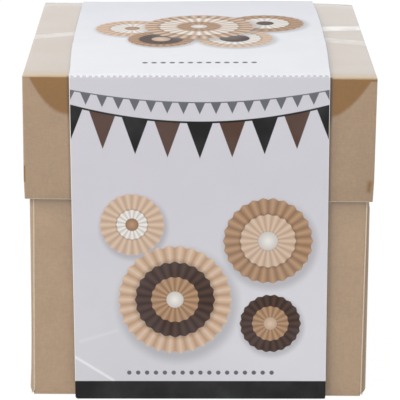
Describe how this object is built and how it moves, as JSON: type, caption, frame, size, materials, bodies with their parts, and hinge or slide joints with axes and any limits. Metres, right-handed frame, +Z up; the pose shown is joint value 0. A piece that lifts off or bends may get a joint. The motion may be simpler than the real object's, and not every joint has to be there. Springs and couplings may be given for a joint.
{
  "type": "explosion box",
  "caption": "Square gift box of nested folding kraft layers under a deep lid, with a small gift box inside and a printed card sleeve round it.",
  "frame": {"origin": "on the floor under the middle of the closed box", "axes": "+Z up, -Y towards the front with the printed panel, +X to the right as seen from the front"},
  "size_m": [0.123, 0.1244, 0.1216],
  "materials": {
    "kraft_board": "smooth kraft board with a light satin sheen",
    "kraft_inner": "smooth kraft board",
    "mat_paper": "matte paper",
    "pocket_card": "matte dark kraft card",
    "pull_card": "smooth white card",
    "gift_board": "smooth light kraft board",
    "ribbon": "satin paper ribbon",
    "sleeve_print": "printed white card with a satin coating"
  },
  "bodies": {
    "base": {"outer_base": "kraft_board", "second_base": "kraft_inner", "third_base": "kraft_inner", "inner_base": "kraft_inner"},
    "lid": {"lid_top": "kraft_board", "lid_rim_front": "kraft_board", "lid_rim_right": "kraft_board", "lid_rim_back": "kraft_board", "lid_rim_left": "kraft_board"},
    "sleeve": {"sleeve_band": "sleeve_print"},
    "sleeve_bottom": {"sleeve_underside": "sleeve_print"},
    "outer_front": {"outer_wall_front": "kraft_board", "photo_mat_front": "mat_paper"},
    "second_front": {"second_wall_front": "kraft_inner"},
    "third_front": {"third_wall_front": "kraft_inner", "third_gusset_front_right": "kraft_inner", "third_gusset_front_left": "kraft_inner"},
    "inner_front": {"inner_wall_front": "kraft_inner", "pocket_front": "pocket_card"},
    "outer_right": {"outer_wall_right": "kraft_board", "photo_mat_right": "mat_paper"},
    "second_right": {"second_wall_right": "kraft_inner", "second_gusset_right_front": "kraft_inner", "second_gusset_right_back": "kraft_inner"},
    "third_right": {"third_wall_right": "kraft_inner"},
    "inner_right": {"inner_wall_right": "kraft_inner", "pocket_right": "pocket_card"},
    "outer_back": {"outer_wall_back": "kraft_board", "photo_mat_back": "mat_paper"},
    "second_back": {"second_wall_back": "kraft_inner"},
    "third_back": {"third_wall_back": "kraft_inner", "third_gusset_back_right": "kraft_inner", "third_gusset_back_left": "kraft_inner"},
    "inner_back": {"inner_wall_back": "kraft_inner", "pocket_back": "pocket_card"},
    "outer_left": {"outer_wall_left": "kraft_board", "photo_mat_left": "mat_paper"},
    "second_left": {"second_wall_left": "kraft_inner", "second_gusset_left_front": "kraft_inner", "second_gusset_left_back": "kraft_inner"},
    "third_left": {"third_wall_left": "kraft_inner"},
    "inner_left": {"inner_wall_left": "kraft_inner", "pocket_left": "pocket_card"},
    "card_front": {"pull_card_front": "pull_card"},
    "card_right": {"pull_card_right": "pull_card"},
    "card_back": {"pull_card_back": "pull_card"},
    "card_left": {"pull_card_left": "pull_card"},
    "gift": {"gift_tray": "gift_board"},
    "gift_top": {"gift_lid": "gift_board", "gift_ribbon": "ribbon", "bow_knot": "ribbon", "bow_loop_left": "ribbon", "bow_loop_right": "ribbon", "bow_tail_left": "ribbon", "bow_tail_right": "ribbon"}
  },
  "joints": [
    {"name": "lid_lift", "type": "slide", "parent": "base", "child": "lid", "axis": [0, 0, 1], "range_m": [0, 0.13]},
    {"name": "sleeve_slide", "type": "slide", "parent": "lid", "child": "sleeve", "axis": [1, 0, 0], "range_m": [0, 0.11]},
    {"name": "sleeve_bottom_slide", "type": "slide", "parent": "base", "child": "sleeve_bottom", "axis": [1, 0, 0], "range_m": [0, 0.11]},
    {"name": "outer_front_fold", "type": "hinge", "parent": "base", "child": "outer_front", "pos_m": [0, -0.06, 0.0007], "axis": [1, 0, 0], "range_deg": [0, 0.4]},
    {"name": "second_front_fold", "type": "hinge", "parent": "base", "child": "second_front", "pos_m": [0, -0.058, 0.0015], "axis": [1, 0, 0], "range_deg": [0, 0.4]},
    {"name": "third_front_fold", "type": "hinge", "parent": "base", "child": "third_front", "pos_m": [0, -0.056, 0.0023], "axis": [1, 0, 0], "range_deg": [0, 0.4]},
    {"name": "inner_front_fold", "type": "hinge", "parent": "base", "child": "inner_front", "pos_m": [0, -0.054, 0.0031], "axis": [1, 0, 0], "range_deg": [0, 0.4]},
    {"name": "outer_right_fold", "type": "hinge", "parent": "base", "child": "outer_right", "pos_m": [0.06, 0, 0.0007], "axis": [0, 1, 0], "range_deg": [0, 0.4]},
    {"name": "second_right_fold", "type": "hinge", "parent": "base", "child": "second_right", "pos_m": [0.058, 0, 0.0015], "axis": [0, 1, 0], "range_deg": [0, 0.4]},
    {"name": "third_right_fold", "type": "hinge", "parent": "base", "child": "third_right", "pos_m": [0.056, 0, 0.0023], "axis": [0, 1, 0], "range_deg": [0, 0.4]},
    {"name": "inner_right_fold", "type": "hinge", "parent": "base", "child": "inner_right", "pos_m": [0.054, 0, 0.0031], "axis": [0, 1, 0], "range_deg": [0, 0.4]},
    {"name": "outer_back_fold", "type": "hinge", "parent": "base", "child": "outer_back", "pos_m": [0, 0.06, 0.0007], "axis": [-1, 0, 0], "range_deg": [0, 0.4]},
    {"name": "second_back_fold", "type": "hinge", "parent": "base", "child": "second_back", "pos_m": [0, 0.058, 0.0015], "axis": [-1, 0, 0], "range_deg": [0, 0.4]},
    {"name": "third_back_fold", "type": "hinge", "parent": "base", "child": "third_back", "pos_m": [0, 0.056, 0.0023], "axis": [-1, 0, 0], "range_deg": [0, 0.4]},
    {"name": "inner_back_fold", "type": "hinge", "parent": "base", "child": "inner_back", "pos_m": [0, 0.054, 0.0031], "axis": [-1, 0, 0], "range_deg": [0, 0.4]},
    {"name": "outer_left_fold", "type": "hinge", "parent": "base", "child": "outer_left", "pos_m": [-0.06, 0, 0.0007], "axis": [0, -1, 0], "range_deg": [0, 0.4]},
    {"name": "second_left_fold", "type": "hinge", "parent": "base", "child": "second_left", "pos_m": [-0.058, 0, 0.0015], "axis": [0, -1, 0], "range_deg": [0, 0.4]},
    {"name": "third_left_fold", "type": "hinge", "parent": "base", "child": "third_left", "pos_m": [-0.056, 0, 0.0023], "axis": [0, -1, 0], "range_deg": [0, 0.4]},
    {"name": "inner_left_fold", "type": "hinge", "parent": "base", "child": "inner_left", "pos_m": [-0.054, 0, 0.0031], "axis": [0, -1, 0], "range_deg": [0, 0.4]},
    {"name": "card_front_pull", "type": "slide", "parent": "inner_front", "child": "card_front", "axis": [0, 0, 1], "range_m": [0, 0.035]},
    {"name": "card_right_pull", "type": "slide", "parent": "inner_right", "child": "card_right", "axis": [0, 0, 1], "range_m": [0, 0.035]},
    {"name": "card_back_pull", "type": "slide", "parent": "inner_back", "child": "card_back", "axis": [0, 0, 1], "range_m": [0, 0.035]},
    {"name": "card_left_pull", "type": "slide", "parent": "inner_left", "child": "card_left", "axis": [0, 0, 1], "range_m": [0, 0.035]},
    {"name": "gift_box_lift", "type": "slide", "parent": "base", "child": "gift", "axis": [0, 0, 1], "range_m": [0, 0.024]},
    {"name": "gift_lid_lift", "type": "slide", "parent": "gift", "child": "gift_top", "axis": [0, 0, 1], "range_m": [0, 0.022]}
  ],
  "couplings": [
    {"joint": "sleeve_bottom_slide", "follows": "sleeve_slide", "ratio": 1},
    {"joint": "second_front_fold", "follows": "outer_front_fold", "ratio": 1},
    {"joint": "third_front_fold", "follows": "outer_front_fold", "ratio": 1},
    {"joint": "inner_front_fold", "follows": "outer_front_fold", "ratio": 1},
    {"joint": "second_right_fold", "follows": "outer_right_fold", "ratio": 1},
    {"joint": "third_right_fold", "follows": "outer_right_fold", "ratio": 1},
    {"joint": "inner_right_fold", "follows": "outer_right_fold", "ratio": 1},
    {"joint": "second_back_fold", "follows": "outer_back_fold", "ratio": 1},
    {"joint": "third_back_fold", "follows": "outer_back_fold", "ratio": 1},
    {"joint": "inner_back_fold", "follows": "outer_back_fold", "ratio": 1},
    {"joint": "second_left_fold", "follows": "outer_left_fold", "ratio": 1},
    {"joint": "third_left_fold", "follows": "outer_left_fold", "ratio": 1},
    {"joint": "inner_left_fold", "follows": "outer_left_fold", "ratio": 1}
  ]
}
